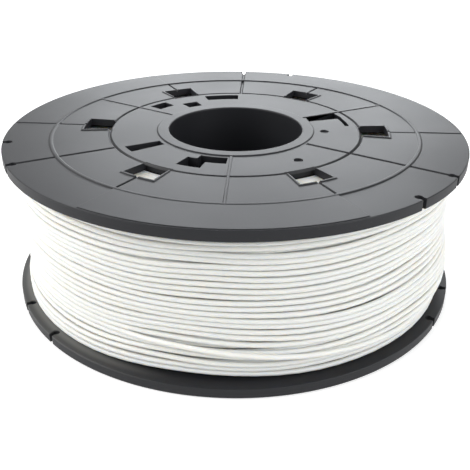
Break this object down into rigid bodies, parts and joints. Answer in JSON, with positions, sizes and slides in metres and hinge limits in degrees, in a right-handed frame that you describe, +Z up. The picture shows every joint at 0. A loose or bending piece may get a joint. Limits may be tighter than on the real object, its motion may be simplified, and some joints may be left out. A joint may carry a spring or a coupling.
{
  "type": "filament spool",
  "caption": "Full filament spool: two flanged halves locked face to face by a short twist, with a through bore, windows and keyholes, and an outer layer of wound strand.",
  "frame": {"origin": "on the spool's axis, in the plane of the ring bead and the collar that the spool lies on", "axes": "+Z up along the bore, from the lower flange to the upper one; +X to the right and +Y away from a viewer in front of the spool"},
  "size_m": [0.18, 0.18, 0.0624],
  "materials": {
    "moulded_plastic": "satin, finely textured",
    "filament_plastic": "smooth, slightly translucent"
  },
  "bodies": {
    "lower": {"lower_half": "moulded_plastic", "filament_core": "filament_plastic", "filament_outer_turns": "filament_plastic"},
    "upper": {"upper_half": "moulded_plastic"}
  },
  "joints": [
    {"name": "twist_release", "type": "hinge", "parent": "lower", "child": "upper", "pos_m": [0, 0, 0.0312], "axis": [0, 0, -1], "range_deg": [0, 12]}
  ]
}
